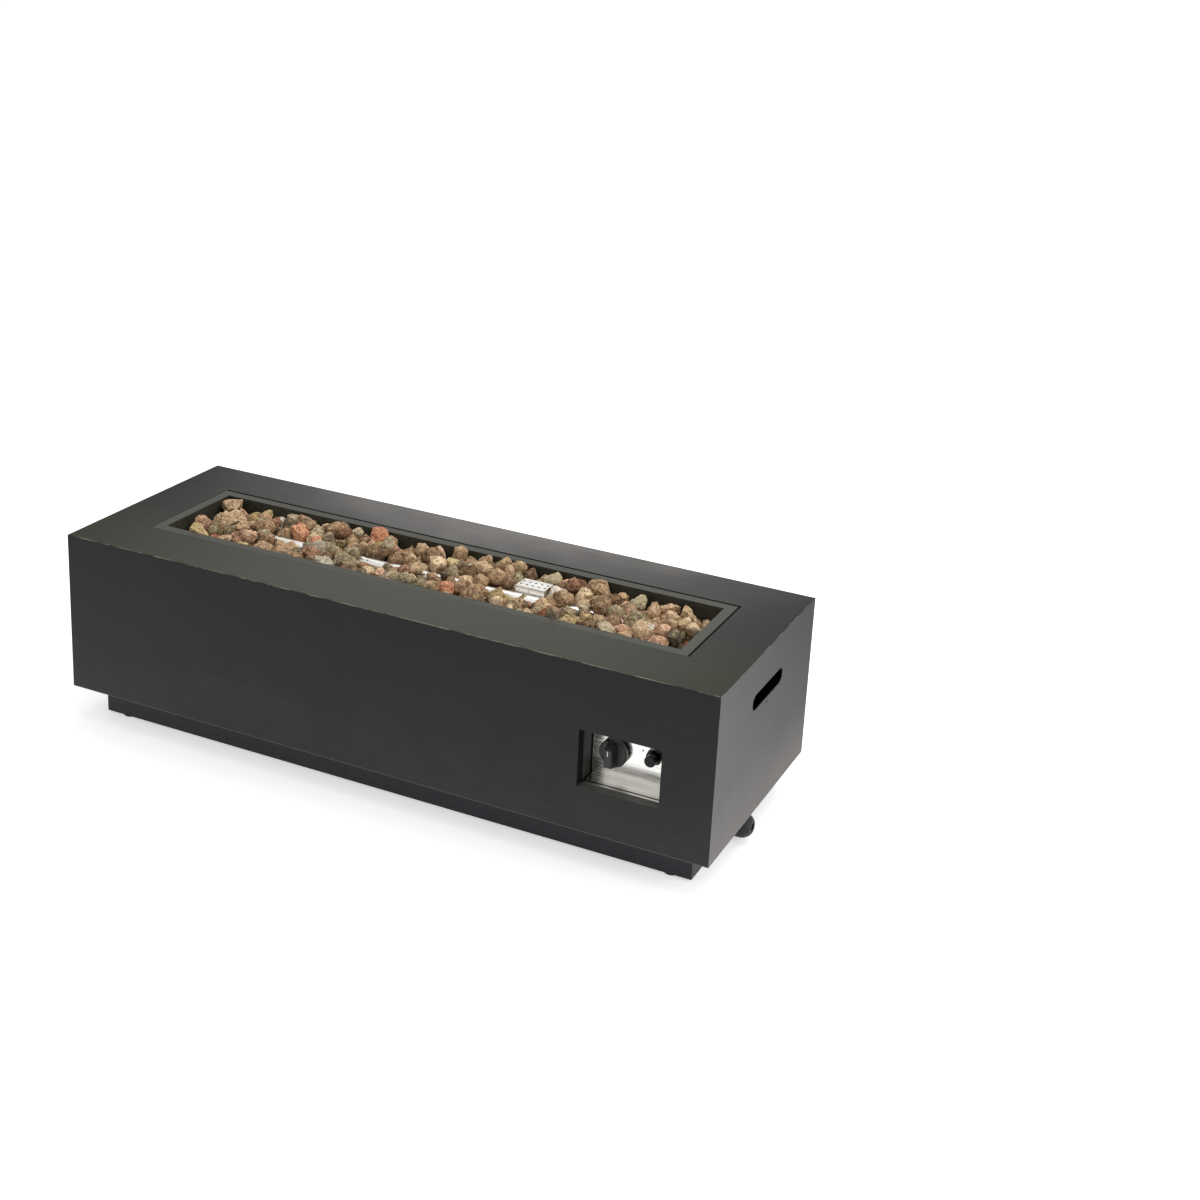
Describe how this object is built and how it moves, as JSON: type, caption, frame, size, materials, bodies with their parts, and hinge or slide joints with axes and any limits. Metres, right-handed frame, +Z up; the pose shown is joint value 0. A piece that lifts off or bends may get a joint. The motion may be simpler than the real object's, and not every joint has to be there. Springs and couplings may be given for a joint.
{
  "type": "gas fire pit",
  "caption": "Long low gas fire pit: dark sheet-steel casing on a recessed plinth, lava-stone burner pan, and a front control recess with push-turn valve knob and igniter button.",
  "frame": {"origin": "on the floor, under the middle of the casing", "axes": "+X along the length towards the control end, -Y out of the front face, +Z up"},
  "size_m": [1.422, 0.502, 0.406],
  "materials": {
    "casing_coat": "dark bronze-black satin coat over brushed steel",
    "plinth_coat": "plain dark satin coat",
    "inner_steel": "zinc-plated sheet",
    "pan_coat": "heat-proof matt black",
    "stainless": "bright stainless",
    "brass": "turned brass",
    "valve_casting": "die cast",
    "knob_plastic": "moulded heat-proof plastic",
    "igniter_plastic": "moulded plastic",
    "rubber": "moulded rubber",
    "ceramic": "fired, unglazed",
    "copper": "drawn copper",
    "silicone": "silicone sleeve",
    "battery_case": "plain sleeve",
    "lava_stone": "porous lava stone"
  },
  "bodies": {
    "casing": {"top_surround": "casing_coat", "front_panel": "casing_coat", "back_panel": "casing_coat", "left_end_panel": "casing_coat", "right_end_panel": "casing_coat", "corner_posts": "inner_steel", "base_tray": "inner_steel", "plinth_front_rail": "plinth_coat", "plinth_back_rail": "plinth_coat", "plinth_left_rail": "plinth_coat", "plinth_right_rail": "plinth_coat", "tray_screws": "inner_steel", "glide_feet": "rubber", "hose_grommet": "rubber", "pan_support_frame": "pan_coat", "burner_pan": "pan_coat", "burner_tube": "stainless", "burner_end_caps": "stainless", "burner_stands": "stainless", "air_mixer": "stainless", "mixer_locknut": "brass", "orifice_fitting": "brass", "burner_line": "stainless", "line_nuts": "brass", "ignition_guard": "stainless", "pilot_bracket": "stainless", "electrode": "ceramic", "thermocouple": "copper", "lava_rocks": "lava_stone", "recess_trim": "stainless", "recess_gasket": "rubber", "control_box": "stainless", "control_plate": "stainless", "control_plate_screws": "inner_steel", "valve_bonnet": "valve_casting", "valve_neck_nut": "brass", "gas_valve": "valve_casting", "valve_inlet": "brass", "valve_outlet": "brass", "igniter_module": "igniter_plastic", "igniter_nut": "igniter_plastic", "igniter_battery": "battery_case", "igniter_lead": "silicone", "thermocouple_lead": "copper", "heat_shield": "inner_steel"},
    "valve_rotor": {"valve_rotor": "brass"},
    "knob": {"control_knob": "knob_plastic", "valve_stem": "inner_steel"},
    "igniter_button": {"igniter_button": "igniter_plastic"}
  },
  "joints": [
    {"name": "valve_turn", "type": "hinge", "parent": "casing", "child": "valve_rotor", "pos_m": [0.495, -0.192, 0.218], "axis": [0, -1, 0], "range_deg": [0, 180]},
    {"name": "knob_push", "type": "slide", "parent": "valve_rotor", "child": "knob", "axis": [0, 1, 0], "range_m": [0, 0.004], "stiffness_N_per_m": 500, "springref_m": -0.002},
    {"name": "igniter_push", "type": "slide", "parent": "casing", "child": "igniter_button", "axis": [0, 1, 0], "range_m": [0, 0.004], "stiffness_N_per_m": 500, "springref_m": -0.002}
  ]
}
